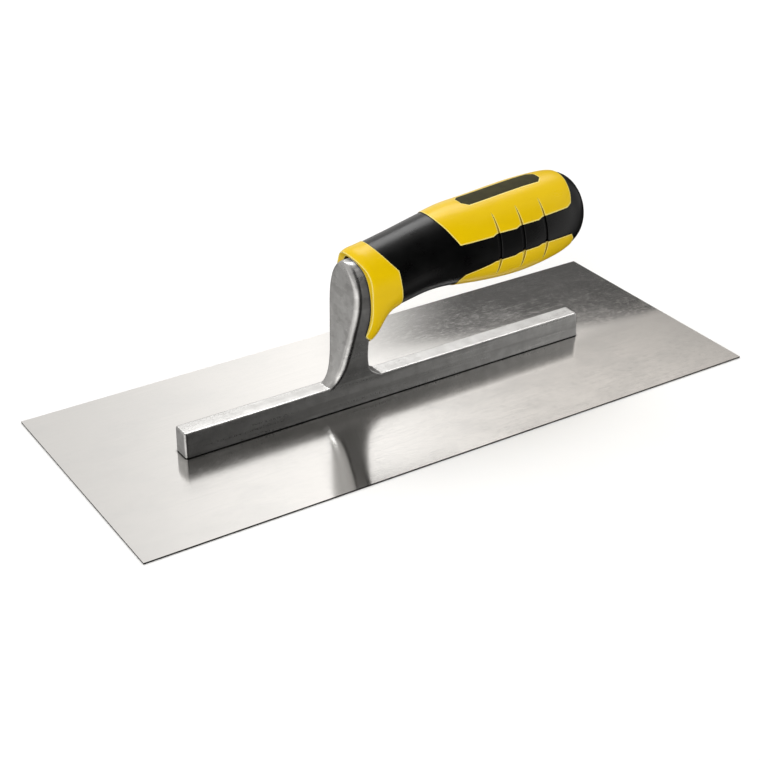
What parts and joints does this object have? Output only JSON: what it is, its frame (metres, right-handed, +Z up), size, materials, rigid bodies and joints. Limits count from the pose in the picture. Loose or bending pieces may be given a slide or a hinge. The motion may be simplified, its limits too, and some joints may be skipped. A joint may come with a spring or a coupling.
{
  "type": "finishing trowel",
  "caption": "Rectangular steel finishing trowel with a cast spine and shank carrying a soft-grip handle over the blade.",
  "frame": {"origin": "centre of the blade's working (under) face", "axes": "+X from the toe (shank end) to the heel (open handle end), +Z up through the handle, +Y across the blade"},
  "size_m": [0.32, 0.13, 0.0909],
  "materials": {
    "blade_steel": "ground and polished to a soft mirror",
    "rivet_steel": "ground flush",
    "cast_aluminium": "tumbled casting, satin",
    "yellow_plastic": "smooth moulded, semi-gloss",
    "black_rubber": "soft moulded elastomer, satin",
    "badge_plastic": "blank dark plate, matte",
    "zinc_steel": "bright zinc plate",
    "black_plug": "satin"
  },
  "bodies": {
    "root": {"blade": "blade_steel", "blade_rivets": "rivet_steel", "mounting": "cast_aluminium", "handle_core": "yellow_plastic", "soft_grip": "black_rubber", "badge_plate": "badge_plastic", "handle_bolt": "zinc_steel", "flat_washer": "zinc_steel", "lock_washer": "zinc_steel", "end_plug": "black_plug"}
  },
  "joints": []
}
